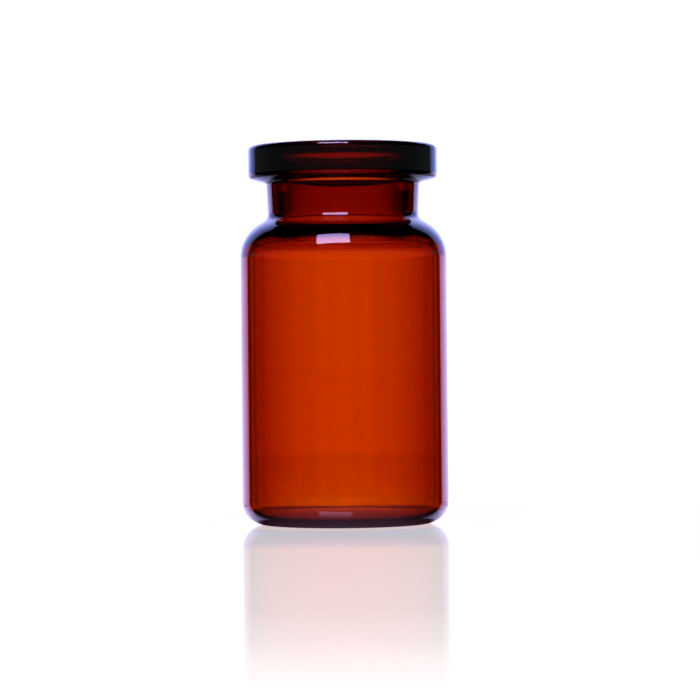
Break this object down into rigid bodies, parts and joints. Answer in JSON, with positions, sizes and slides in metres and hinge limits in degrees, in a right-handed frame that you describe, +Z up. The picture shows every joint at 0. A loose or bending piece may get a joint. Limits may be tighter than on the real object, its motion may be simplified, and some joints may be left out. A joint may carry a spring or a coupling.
{
  "type": "glass sample vial",
  "caption": "Clear amber glass sample vial with a straight tube body, rounded shoulder, short neck and a thick flat crimp lip around an open mouth.",
  "frame": {"origin": "centre of the standing ring, on the plane that the vial stands on", "axes": "+Z up along the tube's axis, out of the mouth; the vial is round, so X and Y are free"},
  "size_m": [0.0218, 0.0218, 0.04],
  "materials": {
    "amber_glass": "clear, glossy"
  },
  "bodies": {
    "root": {"vial": "amber_glass"}
  },
  "joints": []
}
